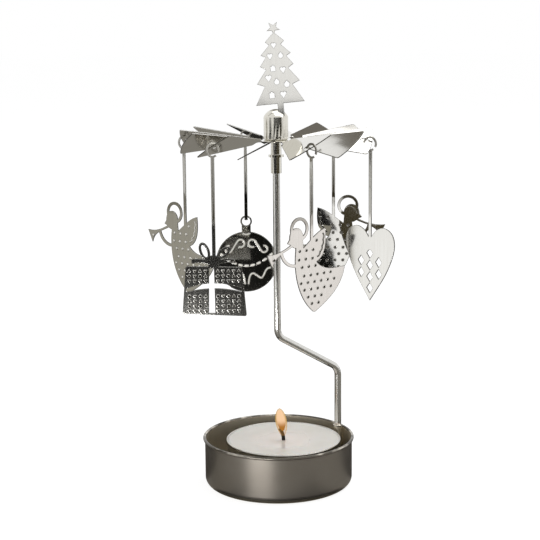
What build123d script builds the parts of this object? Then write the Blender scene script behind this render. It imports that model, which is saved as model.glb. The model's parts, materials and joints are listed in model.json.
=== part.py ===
from build123d import *

import os
from math import asin, atan, cos, degrees, radians, sin, sqrt, tan

# Rotary tealight carousel of polished sheet metal. Millimetres, +Z up.
# The origin is the middle of the tray's underside, and the front faces -Y.

# Tray: a drawn steel dish with a tightly rolled rim
TRAY_DIAMETER = 50.0
TRAY_HEIGHT = 16.0
TRAY_SHEET = 0.4
TRAY_CORNER_RADIUS = 2.5
RIM_BEAD_RADIUS = 0.5

# Rod: one bent wire from the tray's edge to the centre line, ground to a point
ROD_DIAMETER = 2.3
ROD_FOOT_ANGLE = 29.0
ROD_FOOT_LEVEL = 3.0
ROD_LOWER_BEND_LEVEL = 36.0
ROD_UPPER_BEND_LEVEL = 49.6
ROD_BEND_RADIUS = 4.2
NEEDLE_LENGTH = 3.2
NEEDLE_TIP_DIAMETER = 0.3
WELD_HEIGHT = 0.7
WELD_SPREAD = 0.5
WELD_ANGLE = 190.0

# Pinwheel: one sheet with twisted blades, a hook hole in every second one
ROTOR_LEVEL = 113.8
ROTOR_DIAMETER = 61.8
ROTOR_SHEET = 0.3
BLADE_COUNT = 12
BLADE_PITCH = 28.0
BLADE_SLIT = 1.0
BLADE_PHASE = -10.0
BLADE_CORNER_RADIUS = 0.6
HUB_DISC_DIAMETER = 16.4
BLADE_NECK_WIDTH = 2.6
BLADE_NECK_LENGTH = 1.4
HOOK_HOLE_DIAMETER = 2.8
HOOK_HOLE_WEB = 1.2

# Hub: cap on the needle, shouldered sleeve round the rod, push-on ring
CAP_DIAMETER = 7.9
CAP_HEIGHT = 9.8
CAP_DOME_HEIGHT = 2.5
CAP_BORE_DEPTH = 5.6
CAP_EDGE_RADIUS = 0.3
DIMPLE_DIAMETER = 1.6
DIMPLE_DEPTH = 0.5
SLEEVE_DIAMETER = 3.4
SLEEVE_SPIGOT_DIAMETER = 3.0
SLEEVE_LENGTH = 10.4
SPIGOT_REACH = 3.0
RING_DIAMETER = 4.8
RING_THICKNESS = 0.8
RING_DROP = 4.4

# Stamped sheet figures
FIGURE_SHEET = 0.35
STEM_WIDTH = 1.1
STEM_TWIST_SHARE = 0.7
STEM_TWIST_STEPS = 6
STEM_LAP = 1.6
STEM_SHANK = 1.2
ANGEL_WIDTH = 31.3
ANGEL_DROP = 27.0
GIFT_WIDTH = 19.8
GIFT_DROP = 33.9
BOW_RIBBON = 0.8
BAUBLE_WIDTH = 21.1
BAUBLE_DROP = 28.1
HEART_WIDTH = 20.4
HEART_DROP = 33.4
HOOK_RADIUS = 2.35
HOOK_STROKE = 0.6
HOOK_GAP_START = -58.0
HOOK_GAP_END = -28.0

# Ornament pressed out of the figures from behind
EMBOSS_HEIGHT = 0.22
EMBOSS_SLOPE = 35.0
DOT_DIAMETER = 0.95
PARCEL_MARK_RADIUS = 0.68
OVAL_LENGTH = 1.7
OVAL_WIDTH = 0.9
BAUBLE_BEAD = 0.6
WING_BEAD = 0.4

# Tree on the cap
TREE_WIDTH = 15.5
TREE_BASE_LIFT = 1.8
TREE_LEAN = -5.2
TREE_SIDE = 1.5
TREE_FRONT = 2.4
TRUNK_WIDTH = 1.9
TRUNK_DEPTH = 3.4
STAR_RADIUS = 2.25
STAR_WAIST = 0.42

# Tealight
TEALIGHT_DIAMETER = 38.0
TEALIGHT_HEIGHT = 14.5
TEALIGHT_SIDE = 1.7
TEALIGHT_SHEET = 0.25
TEALIGHT_LIP = 0.25
WAX_DROP = 0.6
WICK_DIAMETER = 1.2
WICK_REACH = 4.0
WICK_BEND = 35.0
SUSTAINER_DIAMETER = 12.0
SUSTAINER_SHEET = 0.3
SUSTAINER_NECK_DIAMETER = 2.4
SUSTAINER_NECK_HEIGHT = 4.0

# Clearances
FIT_GAP = 0.02
RUNNING_GAP = 0.10
SEAT_GAP = 0.05
HOOK_GAP = 0.4

# Values that follow from the sizes above
bead_centre = TRAY_DIAMETER / 2 - RIM_BEAD_RADIUS
tray_inside = bead_centre - RIM_BEAD_RADIUS
tray_outside = tray_inside + TRAY_SHEET
rod_radius = ROD_DIAMETER / 2
groove_radius = rod_radius + SEAT_GAP
rod_foot_radius = tray_outside - rod_radius
rod_foot = (rod_foot_radius * cos(radians(ROD_FOOT_ANGLE)), rod_foot_radius * sin(radians(ROD_FOOT_ANGLE)))
rotor_radius = ROTOR_DIAMETER / 2
cap_bottom = ROTOR_LEVEL + ROTOR_SHEET / 2 + FIT_GAP
cap_top = cap_bottom + CAP_HEIGHT
bearing_level = cap_bottom + CAP_BORE_DEPTH + DIMPLE_DEPTH
needle_tip = bearing_level - SEAT_GAP
shoulder_level = ROTOR_LEVEL - ROTOR_SHEET / 2 - FIT_GAP
hook_inside = HOOK_RADIUS - HOOK_STROKE
pivot_radius = rotor_radius - HOOK_HOLE_WEB / 2
hole_reach = rotor_radius - HOOK_HOLE_WEB - HOOK_HOLE_DIAMETER / 2
blade_step = 360 / BLADE_COUNT


def turned(edges):
    """A solid of revolution about Z from a closed outline in the XZ plane."""
    return revolve(Plane.XZ * make_face(edges), Axis.Z)


def outline(points):
    """A flat face with straight sides."""
    return make_face(Polyline(*points, close=True))


def pillar(radius, bottom, top, centre=(0, 0)):
    """A vertical cylinder between two levels."""
    middle = Pos(centre[0], centre[1], (bottom + top) / 2)
    return middle * Cylinder(radius, top - bottom)


def candle_tray():
    """Drawn dish with a rolled bead, and a groove pressed in for the rod."""
    corner_inside = TRAY_CORNER_RADIUS - TRAY_SHEET
    bead_level = TRAY_HEIGHT - RIM_BEAD_RADIUS
    flat = tray_outside - TRAY_CORNER_RADIUS
    slope = sin(radians(45))
    dish = turned([
        Line((0, 0), (flat, 0)),
        ThreePointArc(
            (flat, 0),
            (flat + TRAY_CORNER_RADIUS * slope, TRAY_CORNER_RADIUS * (1 - slope)),
            (tray_outside, TRAY_CORNER_RADIUS),
        ),
        Line((tray_outside, TRAY_CORNER_RADIUS), (tray_outside, bead_level)),
        Line((tray_outside, bead_level), (tray_inside, bead_level)),
        Line((tray_inside, bead_level), (tray_inside, TRAY_CORNER_RADIUS)),
        ThreePointArc(
            (tray_inside, TRAY_CORNER_RADIUS),
            (flat + corner_inside * slope, TRAY_CORNER_RADIUS - corner_inside * slope),
            (flat, TRAY_SHEET),
        ),
        Line((flat, TRAY_SHEET), (0, TRAY_SHEET)),
        Line((0, TRAY_SHEET), (0, 0)),
    ])
    bead = revolve(Plane.XZ * Pos(bead_centre, bead_level) * Circle(RIM_BEAD_RADIUS), Axis.Z)
    groove_outer = groove_radius + TRAY_SHEET
    groove_floor = ROD_FOOT_LEVEL - TRAY_SHEET
    dent = pillar(groove_outer, groove_floor, TRAY_HEIGHT, rod_foot)
    bay = pillar(groove_radius, ROD_FOOT_LEVEL, TRAY_HEIGHT, rod_foot)
    within_wall = pillar(tray_outside, 0, TRAY_HEIGHT)
    return dish + bead - dent + ((dent - bay) & within_wall)


def stand_rod():
    """Bent wire: up from its groove, in to the centre line, and up to a needle point."""
    shoulder = needle_tip - NEEDLE_LENGTH
    path = FilletPolyline(
        (rod_foot[0], rod_foot[1], ROD_FOOT_LEVEL),
        (rod_foot[0], rod_foot[1], ROD_LOWER_BEND_LEVEL),
        (0, 0, ROD_UPPER_BEND_LEVEL),
        (0, 0, shoulder),
        radius=ROD_BEND_RADIUS,
    )
    section = Pos(rod_foot[0], rod_foot[1], ROD_FOOT_LEVEL) * Circle(rod_radius)
    wire = sweep(section, path)
    needle = Cone(rod_radius, NEEDLE_TIP_DIAMETER / 2, NEEDLE_LENGTH)
    return wire + Pos(0, 0, shoulder + NEEDLE_LENGTH / 2) * needle


def foot_weld():
    """Weld fillet between the rod and the lip of its groove, on the tray's inner side."""
    fillet_face = make_face([
        Line((rod_radius, 0), (groove_radius + WELD_SPREAD, 0)),
        ThreePointArc(
            (groove_radius + WELD_SPREAD, 0),
            (rod_radius + WELD_SPREAD * 0.4, WELD_HEIGHT * 0.4),
            (rod_radius, WELD_HEIGHT),
        ),
        Line((rod_radius, WELD_HEIGHT), (rod_radius, 0)),
    ])
    start = Rot(0, 0, ROD_FOOT_ANGLE + 180 - WELD_ANGLE / 2)
    bead = start * revolve(Plane.XZ * fillet_face, Axis.Z, WELD_ANGLE)
    return Pos(rod_foot[0], rod_foot[1], TRAY_HEIGHT) * bead


def pivot_cap():
    """Domed cap with a blind bore, a bearing dimple and a slot for the tree's trunk."""
    radius = CAP_DIAMETER / 2
    bore = SLEEVE_SPIGOT_DIAMETER / 2 + FIT_GAP
    shoulder = cap_top - CAP_DOME_HEIGHT
    roof = cap_bottom + CAP_BORE_DEPTH
    dome_radius = (radius**2 + CAP_DOME_HEIGHT**2) / (2 * CAP_DOME_HEIGHT)
    half_way = asin(radius / dome_radius) / 2
    dome_point = (dome_radius * sin(half_way), cap_top - dome_radius * (1 - cos(half_way)))
    body = turned([
        Line((bore, cap_bottom), (radius - CAP_EDGE_RADIUS, cap_bottom)),
        Line((radius - CAP_EDGE_RADIUS, cap_bottom), (radius, cap_bottom + CAP_EDGE_RADIUS)),
        Line((radius, cap_bottom + CAP_EDGE_RADIUS), (radius, shoulder)),
        ThreePointArc((radius, shoulder), dome_point, (0, cap_top)),
        Line((0, cap_top), (0, bearing_level)),
        Line((0, bearing_level), (DIMPLE_DIAMETER / 2, roof)),
        Line((DIMPLE_DIAMETER / 2, roof), (bore, roof)),
        Line((bore, roof), (bore, cap_bottom)),
    ])
    slot = tree_place() * trunk_blank(FIT_GAP)
    return body - slot


def guide_sleeve():
    """Tube round the rod, with a shoulder under the wheel and a spigot up into the cap."""
    inside = rod_radius + RUNNING_GAP
    outside = SLEEVE_DIAMETER / 2
    spigot = SLEEVE_SPIGOT_DIAMETER / 2
    foot = shoulder_level - SLEEVE_LENGTH
    head = cap_bottom + SPIGOT_REACH
    return turned(Polyline(
        (inside, foot), (outside, foot), (outside, shoulder_level),
        (spigot, shoulder_level), (spigot, head), (inside, head), close=True,
    ))


def retaining_ring():
    """Push-on ring on the sleeve."""
    top = shoulder_level - RING_DROP
    bore = pillar(SLEEVE_DIAMETER / 2 + FIT_GAP, top - RING_THICKNESS, top)
    return pillar(RING_DIAMETER / 2, top - RING_THICKNESS, top) - bore


def blade(with_hole):
    """One blade along +X with its twisted neck, pitched about its own middle line."""
    hub_edge = HUB_DISC_DIAMETER / 2
    root = hub_edge + BLADE_NECK_LENGTH
    half_step = radians(blade_step / 2)
    root_half = (root * sin(half_step) - BLADE_SLIT / 2) / cos(half_step)
    tip_half = (rotor_radius * sin(half_step) - BLADE_SLIT / 2) / cos(half_step)
    tip_x = sqrt(rotor_radius**2 - tip_half**2)
    face = make_face([
        Line((root, -root_half), (tip_x, -tip_half)),
        ThreePointArc((tip_x, -tip_half), (rotor_radius, 0), (tip_x, tip_half)),
        Line((tip_x, tip_half), (root, root_half)),
        Line((root, root_half), (root, -root_half)),
    ])
    tips = face.vertices().sort_by(Axis.X)[-2:]
    face = fillet(tips, BLADE_CORNER_RADIUS)
    if with_hole:
        face = face - Pos(hole_reach, 0) * Circle(HOOK_HOLE_DIAMETER / 2)
    plate = Rot(BLADE_PITCH, 0, 0) * extrude(face, ROTOR_SHEET / 2, both=True)
    strip = Plane.YZ * Rectangle(BLADE_NECK_WIDTH, ROTOR_SHEET)
    twist = loft([
        Pos(hub_edge, 0, 0) * strip,
        Pos(root, 0, 0) * Rot(BLADE_PITCH, 0, 0) * strip,
    ], ruled=True)
    stub = Pos(hub_edge - BLADE_NECK_LENGTH / 2, 0, 0) * Box(BLADE_NECK_LENGTH, BLADE_NECK_WIDTH, ROTOR_SHEET)
    return plate + twist + stub


def pinwheel_rotor():
    """Hub disc with all its blades."""
    half = ROTOR_SHEET / 2
    wheel = Cylinder(HUB_DISC_DIAMETER / 2, ROTOR_SHEET)
    kinds = [blade(True), blade(False)]
    for index in range(BLADE_COUNT):
        wheel += Rot(0, 0, BLADE_PHASE + index * blade_step) * kinds[index % 2]
    wheel -= pillar(SLEEVE_SPIGOT_DIAMETER / 2 + FIT_GAP, -half, half)
    return Pos(0, 0, ROTOR_LEVEL) * wheel


def sheet_solid(face):
    """A flat stamping standing in the XZ plane, its thickness shared by both sides."""
    return extrude(Plane.XZ * face, FIGURE_SHEET / 2, both=True)


def mirrored_pair(face):
    """A face and its mirror image across the upright middle line."""
    return face + mirror(face, Plane.YZ)


def raised_shape(face, across, up):
    """A small flat-topped form that stands out of the XZ plane towards the front."""
    return Pos(across, 0, up) * extrude(Plane.XZ * face, EMBOSS_HEIGHT, taper=EMBOSS_SLOPE)


def raised_line(line, width):
    """A round bead along a line in the XZ plane."""
    path = Plane.XZ * line
    section = Plane(origin=path @ 0, z_dir=path % 0) * Circle(width / 2)
    return sweep(section, path)


def stamping(face, width, shapes=(), lines=(), bead=0):
    """A drawn figure brought to its width, with shapes and lines pressed out of it from behind.

    Shapes are (face, across, up); lines get a bead of one width. Each leaves its hollow in the back.
    """
    growth = width / face.bounding_box().size.X
    half = FIGURE_SHEET / 2
    raised = [raised_shape(shape, across * growth, up * growth) for shape, across, up in shapes]
    raised += [raised_line(scale(line, by=growth), bead) for line in lines]
    figure = sheet_solid(scale(face, by=growth))
    if raised:
        figure = figure + [Pos(0, -half, 0) * form for form in raised]
        figure = figure - [Pos(0, half, 0) * form for form in raised]
    return figure


def small_heart(width):
    """A little heart-shaped hole."""
    lobe = width * 0.27
    lobes = mirrored_pair(Pos(width / 2 - lobe, 0) * Circle(lobe))
    reach = width * 0.49
    point = outline([(-reach, -lobe * 0.3), (0, lobe * 0.4), (reach, -lobe * 0.3), (0, -width * 0.8)])
    return lobes + point


def small_gift(width):
    """A little parcel-shaped hole with a tab of a bow."""
    return Rectangle(width, width) + Pos(0, width * 0.6) * Rectangle(width * 0.35, width * 0.3)


def small_bauble(width):
    """A little ball-shaped hole with its loop."""
    return Circle(width / 2) + Pos(0, width * 0.52) * Rectangle(width * 0.35, width * 0.3)


def tree_face():
    """Fir with five tiers, an inverted star and ten cut-outs; the base middle is at (0, 0)."""
    tips = [(3.0, 19.5), (4.75, 15.5), (5.3, 12.0), (6.8, 6.7), (7.75, 0.0)]
    crooks = [(1.9, 18.4), (3.3, 14.7), (3.5, 10.9), (4.4, 5.7)]
    neck = (0.5, 21.9)
    right = [neck]
    for index, tip in enumerate(tips):
        right.append(tip)
        right += crooks[index:index + 1]
    left = [(-x, z) for x, z in reversed(right)]
    fir = outline(right + left)
    star_points = []
    for index in range(10):
        reach = STAR_RADIUS if index % 2 == 0 else STAR_RADIUS * STAR_WAIST
        turn = radians(-90 + 36 * index)
        star_points.append((reach * cos(turn), neck[1] + STAR_RADIUS * 0.75 + reach * sin(turn)))
    holes = [
        (small_heart(1.6), -0.4, 18.6), (small_heart(1.7), -1.9, 15.3), (small_bauble(1.5), 1.5, 14.9),
        (small_gift(1.5), -1.3, 11.0), (small_heart(1.8), 1.8, 10.8), (small_heart(1.9), -3.0, 8.6),
        (small_bauble(1.6), -0.5, 6.8), (small_bauble(1.7), 2.6, 5.8), (small_gift(1.6), -2.4, 2.7),
        (small_heart(1.9), 1.2, 3.1),
    ]
    fir = fir + outline(star_points)
    for hole, across, up in holes:
        fir = fir - Pos(across, up) * hole
    return fir


def trunk_blank(gap):
    """The flat trunk below the tree, grown by a gap all round for its slot."""
    length = TREE_BASE_LIFT + TRUNK_DEPTH + gap
    size = (TRUNK_WIDTH + 2 * gap, FIGURE_SHEET + 2 * gap, length)
    return Pos(0, 0, -length / 2) * Box(*size)


def tree_place():
    """Where the middle of the tree's base stands above the cap."""
    return Pos(TREE_SIDE, -TREE_FRONT, cap_top + TREE_BASE_LIFT) * Rot(0, TREE_LEAN, 0)


def tree_topper():
    """Flat fir tree with its trunk."""
    overlap = TRUNK_WIDTH / 2
    trunk = trunk_blank(0) + Pos(0, 0, overlap / 2) * Box(TRUNK_WIDTH, FIGURE_SHEET, overlap)
    return tree_place() * (stamping(tree_face(), TREE_WIDTH) + trunk)


def angel():
    """Angel blowing a trumpet towards -X; the stem meets the wing at (0, 0)."""
    body = make_face([
        Spline((-4.3, -3.1), (-1.2, -0.8), (1.3, 0.9), (4.5, 2.2)),
        Spline((4.5, 2.2), (4.6, -2.5), (3.6, -5.6), (0.9, -7.8)),
        Spline((0.9, -7.8), (3.8, -9.8), (7.4, -10.5), (12.7, -10.4)),
        Spline((12.7, -10.4), (10.2, -16.0), (5.6, -20.2), (0.7, -23.1)),
        ThreePointArc((0.7, -23.1), (0.0, -23.3), (-0.8, -22.9)),
        Spline((-0.8, -22.9), (-5.1, -17.6), (-7.1, -12.0), (-7.3, -3.0)),
        Line((-7.3, -3.0), (-4.3, -3.1)),
    ])
    head = Pos(-7.1, 0.2) * Ellipse(2.7, 3.1)
    neck = outline([(-7.3, -3.4), (-4.3, -3.4), (-4.6, 0.2), (-7.3, -1.0)])
    nose = outline([(-9.6, 0.2), (-10.7, -1.2), (-9.0, -1.9)])
    halo = Pos(-5.85, 2.8) * (Circle(3.6) - Circle(2.6))
    trumpet = make_face([
        Line((-18.6, -3.8), (-16.6, -7.9)),
        Spline((-16.6, -7.9), (-14.9, -5.2), (-12.6, -3.9), (-8.4, -2.1)),
        Line((-8.4, -2.1), (-8.4, -1.2)),
        Spline((-8.4, -1.2), (-12.0, -2.9), (-15.0, -3.7), (-18.6, -3.8)),
    ])
    arm = trace(ThreePointArc((-13.0, -3.9), (-11.0, -7.0), (-6.9, -8.2)), 1.0)
    step = 2.7
    rows = [
        (0.9, -1.2, 1), (-5.9, -3.9, 3), (-6.2, -6.5, 3), (-5.0, -8.9, 3), (-4.2, -11.6, 5),
        (-5.4, -13.8, 6), (-4.1, -16.0, 5), (-2.6, -18.3, 3), (-1.1, -20.5, 2),
    ]
    dot = Circle(DOT_DIAMETER / 2)
    dots = [(dot, first + index * step, up) for first, up, count in rows for index in range(count)]
    dots.append((dot, -16.1, -5.5))
    knots = [(3.5, 0.7), (3.5, -1.3), (3.1, -3.1), (2.3, -4.8), (1.2, -6.2)]
    scallop_depth = 0.4
    scallops = [SagittaArc(upper, lower, scallop_depth) for upper, lower in zip(knots, knots[1:])]
    return stamping(body + head + neck + nose + halo + trumpet + arm, ANGEL_WIDTH, dots, scallops, WING_BEAD)


def parcel_marks():
    """Rows of little triangles, squares and dots over the four fields of the parcel."""
    radius = PARCEL_MARK_RADIUS
    marks = [
        RegularPolygon(radius, 3, rotation=90), Circle(radius * 0.75),
        RegularPolygon(radius, 3, rotation=-90), RegularPolygon(radius * 0.9, 4),
    ]
    columns = [-7.4, -5.75, -4.1, -2.45, 1.25, 2.85, 4.45, 6.05, 7.6]
    rows = [-4.2, -5.7, -7.2, -11.9, -13.4, -14.9, -16.4]
    places = []
    for row, up in enumerate(rows):
        for column, across in enumerate(columns):
            mark = marks[(row * 3 + column * 2 + row * column) % len(marks)]
            places.append((mark, across, up))
    return places


def bow_loop(middle, length, width, lean):
    """A closed loop of ribbon that leans from upright by an angle."""
    loop = Ellipse(width / 2, length / 2) - Ellipse(width / 2 - BOW_RIBBON, length / 2 - BOW_RIBBON)
    return Pos(*middle) * Rot(0, 0, lean) * loop


def gift():
    """Parcel with a cut-out ribbon cross and a bow; the stem meets the knot at (0, 0)."""
    corner = 0.6
    box = outline([(-9.6, -17.3), (9.9, -18.2), (8.6, -3.0), (-8.4, -2.6)])
    box = fillet(box.vertices(), corner)
    upright = outline([(-1.55, -17.1), (0.35, -17.1), (0.12, -3.4), (-1.32, -3.4)])
    side = 8.4
    band = make_face([
        ThreePointArc((-side, -10.6), (0, -9.5), (side, -10.6)),
        Line((side, -10.6), (side, -9.6)),
        ThreePointArc((side, -9.6), (0, -8.0), (-side, -9.6)),
        Line((-side, -9.6), (-side, -10.6)),
    ])
    parcel = box - upright - band
    loops = bow_loop((-2.65, 1.9), 5.5, 3.1, 20) + bow_loop((3.1, 1.35), 5.0, 2.7, -50)
    tail = make_face([
        Spline((-1.2, -1.0), (-3.6, -0.4), (-6.6, -0.6)),
        Line((-6.6, -0.6), (-6.6, -1.9)),
        Spline((-6.6, -1.9), (-3.8, -1.7), (-1.2, -2.3)),
        Line((-1.2, -2.3), (-1.2, -1.0)),
    ])
    slit = Pos(4.8, -1.25) * SlotOverall(3.0, 0.5)
    knot = Pos(0, -1.1) * Ellipse(2.3, 1.7) + Pos(0, -2.5) * Rectangle(3.2, 1.4)
    face = parcel + loops + mirrored_pair(tail) - slit + knot
    return stamping(face, GIFT_WIDTH, parcel_marks())


def scroll_line():
    """An S-shaped scroll right of the bauble's middle line: two curls joined by their common tangent."""
    head, head_radius = (2.0, 6.4), 1.3
    tail, tail_radius = (6.1, 4.4), 1.15
    across, up = tail[0] - head[0], tail[1] - head[1]
    lean = asin((head_radius + tail_radius) / sqrt(across**2 + up**2))
    leave = degrees(atan(up / across) - lean) + 90
    curl = CenterArc(head, head_radius, 300, leave - 300)
    hook = CenterArc(tail, tail_radius, leave + 180, 250)
    return Wire([curl, Line(curl @ 1, hook @ 0), hook])


def bauble():
    """Ball with scrolls, a row of ovals and a wavy line; the stem meets its ring at (0, 0)."""
    ring_radius, ring_stroke = 2.0, 0.55
    ball_radius, ball_drop = 10.55, 16.1
    neck_width = 3.1
    neck_top = ball_drop - 2 * ring_radius + ring_stroke
    neck_half = neck_width / 2
    neck = outline([(-neck_half, 9), (neck_half, 9), (neck_half, neck_top), (-neck_half, neck_top)])
    ring = Pos(0, ball_drop - ring_radius) * (Circle(ring_radius) - Circle(ring_radius - ring_stroke))
    eye = Pos(0, ball_drop - ring_radius) * Circle(ring_radius - ring_stroke)
    face = Pos(0, -ball_drop) * (Circle(ball_radius) + (neck - eye) + ring)
    ovals = []
    for index in range(-4, 5):
        across = index * 2.1
        rise = 0.054 * across**2 - 1.45
        lean = degrees(atan(0.108 * across))
        ovals.append((Rot(0, 0, lean) * SlotOverall(OVAL_LENGTH, OVAL_WIDTH), across, rise - ball_drop))
    scroll = scroll_line()
    wave = Spline((0.6, -7.9), (3.2, -4.6), (5.0, -5.7), (6.8, -2.9), (8.3, -2.2))
    collar = ThreePointArc((-1.2, 9.9), (0, 9.5), (1.2, 9.9))
    lines = [scroll, mirror(scroll, Plane.YZ), wave, mirror(wave, Plane.YZ), collar]
    lines = [Pos(0, -ball_drop) * line for line in lines]
    return stamping(face, BAUBLE_WIDTH, ovals, lines, BAUBLE_BEAD)


def heart():
    """Heart with diamond holes; the stem ends in its notch at (0, 0)."""
    half = make_face([
        Spline((0, 0), (2.1, 4.5), (5.6, 5.9), (9.1, 4.1), (10.1, 0.6), (9.3, -3.0), (6.0, -9.6), (0, -17.9)),
        Line((0, -17.9), (0, 0)),
    ])
    face = mirrored_pair(half)
    wide, tall = 2.6, 3.3
    diamond = outline([(-wide / 2, 0), (0, -tall / 2), (wide / 2, 0), (0, tall / 2)])
    side = 3.65
    places = [(0, -2.6), (0, -6.4), (0, -10.2), (0, -13.8)]
    places += [(across, up) for across in (-side, side) for up in (-5.2, -9.0)]
    for across, up in places:
        face -= Pos(across, up) * diamond
    return stamping(face, HEART_WIDTH)


def hook_face(shift):
    """C-shaped hook whose middle stands to one side of the stem's line."""
    ring = Circle(HOOK_RADIUS) - Circle(hook_inside)
    far = 2 * HOOK_RADIUS
    rays = [(far * cos(radians(turn)), far * sin(radians(turn))) for turn in (HOOK_GAP_START, HOOK_GAP_END)]
    return Pos(shift, 0) * (ring - outline([(0, 0), rays[0], rays[1]]))


def stem_solid(top, bottom, turn):
    """Flat strip that twists by a turn between its straight ends."""
    strip = Rectangle(STEM_WIDTH, FIGURE_SHEET)
    twist_top = top - STEM_SHANK
    twist_foot = twist_top - (twist_top - bottom) * STEM_TWIST_SHARE
    sections = [Pos(0, 0, bottom) * Rot(0, 0, turn) * strip]
    for index in range(STEM_TWIST_STEPS + 1):
        share = index / STEM_TWIST_STEPS
        level = twist_foot + (twist_top - twist_foot) * share
        sections.append(Pos(0, 0, level) * Rot(0, 0, turn * (1 - share)) * strip)
    sections.append(Pos(0, 0, top) * strip)
    return loft(sections, ruled=True)


def pendant(figure, drop, angle, hook_azimuth, figure_azimuth):
    """A figure on its stem and hook, hung from the blade whose hook hole is at an angle.

    The azimuths say where the hook's and the figure's own +X point, seen from above.
    """
    hook_turn = radians(hook_azimuth - angle)
    pitch = radians(BLADE_PITCH)
    slope = atan(tan(pitch) * sin(hook_turn))
    half_width = HOOK_HOLE_WEB / 2 / abs(cos(hook_turn))
    half_height = ROTOR_SHEET / 2 / cos(pitch) + FIGURE_SHEET / 2 * tan(pitch)
    sag = hook_inside - sqrt(hook_inside**2 - half_width**2)
    reach = hook_inside - sag - half_height - HOOK_GAP
    centre = -reach * cos(slope)
    hook = Pos(0, 0, centre) * sheet_solid(hook_face(reach * sin(slope)))
    twist = figure_azimuth - hook_azimuth
    stem_top = centre - HOOK_RADIUS + HOOK_STROKE / 2
    stem = stem_solid(stem_top, -drop - STEM_LAP, twist)
    balance = figure.center().X
    figure = Rot(0, 0, twist) * Pos(-balance, 0, -drop) * figure
    place = (pivot_radius * cos(radians(angle)), pivot_radius * sin(radians(angle)), ROTOR_LEVEL)
    return Pos(*place) * Rot(0, 0, hook_azimuth) * (hook + stem + figure)


def hung_pendants():
    """The six pendants by name, on every second blade round the wheel."""
    herald = angel()
    turned_herald = Rot(0, 0, 180) * herald
    first = BLADE_PHASE
    spacing = 2 * blade_step
    return {
        "heart_pendant": pendant(heart(), HEART_DROP, first, -30, -45),
        "angel_pendant_rear": pendant(turned_herald, ANGEL_DROP, first + spacing, 50, 0),
        "bauble_pendant": pendant(bauble(), BAUBLE_DROP, first + 2 * spacing, -50, 0),
        "angel_pendant_left": pendant(herald, ANGEL_DROP, first + 3 * spacing, -30, -42),
        "gift_pendant": pendant(gift(), GIFT_DROP, first + 4 * spacing, 34, 0),
        "angel_pendant_front": pendant(herald, ANGEL_DROP, first + 5 * spacing, -50, 40),
    }


def tealight_axis():
    """Where the tealight stands on the tray's floor."""
    return Pos(TEALIGHT_SIDE, 0, TRAY_SHEET)


def tealight_cup():
    """Thin cup with a small lip."""
    lip = TEALIGHT_DIAMETER / 2
    wall = lip - TEALIGHT_LIP
    inside = wall - TEALIGHT_SHEET
    lip_foot = TEALIGHT_HEIGHT - 2 * TEALIGHT_LIP
    return tealight_axis() * turned(Polyline(
        (0, 0), (wall, 0), (wall, lip_foot), (lip, lip_foot + TEALIGHT_LIP), (lip, TEALIGHT_HEIGHT),
        (inside, TEALIGHT_HEIGHT), (inside, TEALIGHT_SHEET), (0, TEALIGHT_SHEET), close=True,
    ))


def wick_sustainer():
    """Tin disc with a crimped neck at the bottom of the cup."""
    neck = SUSTAINER_NECK_DIAMETER / 2
    foot = TEALIGHT_SHEET + FIT_GAP
    top = foot + SUSTAINER_SHEET
    return tealight_axis() * turned(Polyline(
        (WICK_DIAMETER / 2 + FIT_GAP, foot), (SUSTAINER_DIAMETER / 2, foot), (SUSTAINER_DIAMETER / 2, top),
        (neck, top), (neck, foot + SUSTAINER_NECK_HEIGHT),
        (WICK_DIAMETER / 2 + FIT_GAP, foot + SUSTAINER_NECK_HEIGHT), close=True,
    ))


def wick():
    """Wick that stands up through the wax and bends over at its end."""
    foot = TEALIGHT_SHEET + FIT_GAP
    free = TEALIGHT_HEIGHT - WAX_DROP
    bend_radius = WICK_REACH / radians(WICK_BEND)
    path = Line((0, 0, foot), (0, 0, free)) + Plane.XZ * JernArc((0, free), (0, 1), bend_radius, WICK_BEND)
    strand = sweep(Pos(0, 0, foot) * Circle(WICK_DIAMETER / 2), path)
    return tealight_axis() * strand


def tealight_wax():
    """Wax that fills the cup round the wick and its foot."""
    inside = TEALIGHT_DIAMETER / 2 - TEALIGHT_LIP - TEALIGHT_SHEET - FIT_GAP
    foot = TEALIGHT_SHEET + FIT_GAP
    block = pillar(inside, foot, TEALIGHT_HEIGHT - WAX_DROP)
    disc = pillar(SUSTAINER_DIAMETER / 2 + FIT_GAP, foot, foot + SUSTAINER_SHEET + FIT_GAP)
    neck = pillar(SUSTAINER_NECK_DIAMETER / 2 + FIT_GAP, foot, foot + SUSTAINER_NECK_HEIGHT + FIT_GAP)
    strand = pillar(WICK_DIAMETER / 2 + FIT_GAP, foot, TEALIGHT_HEIGHT - WAX_DROP)
    return tealight_axis() * (block - disc - neck - strand)


def main():
    nodes = {
        "candle_tray": candle_tray(),
        "stand_rod": stand_rod(),
        "foot_weld": foot_weld(),
        "pivot_cap": pivot_cap(),
        "guide_sleeve": guide_sleeve(),
        "retaining_ring": retaining_ring(),
        "pinwheel_rotor": pinwheel_rotor(),
        "tree_topper": tree_topper(),
        "tealight_cup": tealight_cup(),
        "wick_sustainer": wick_sustainer(),
        "wick": wick(),
        "tealight_wax": tealight_wax(),
    }
    nodes.update(hung_pendants())
    os.makedirs("parts", exist_ok=True)
    for name, shape in nodes.items():
        export_step(shape, f"parts/{name}.step")


main()
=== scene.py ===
import json
import math

import bmesh
import bpy
from mathutils import Matrix, Vector


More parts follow.
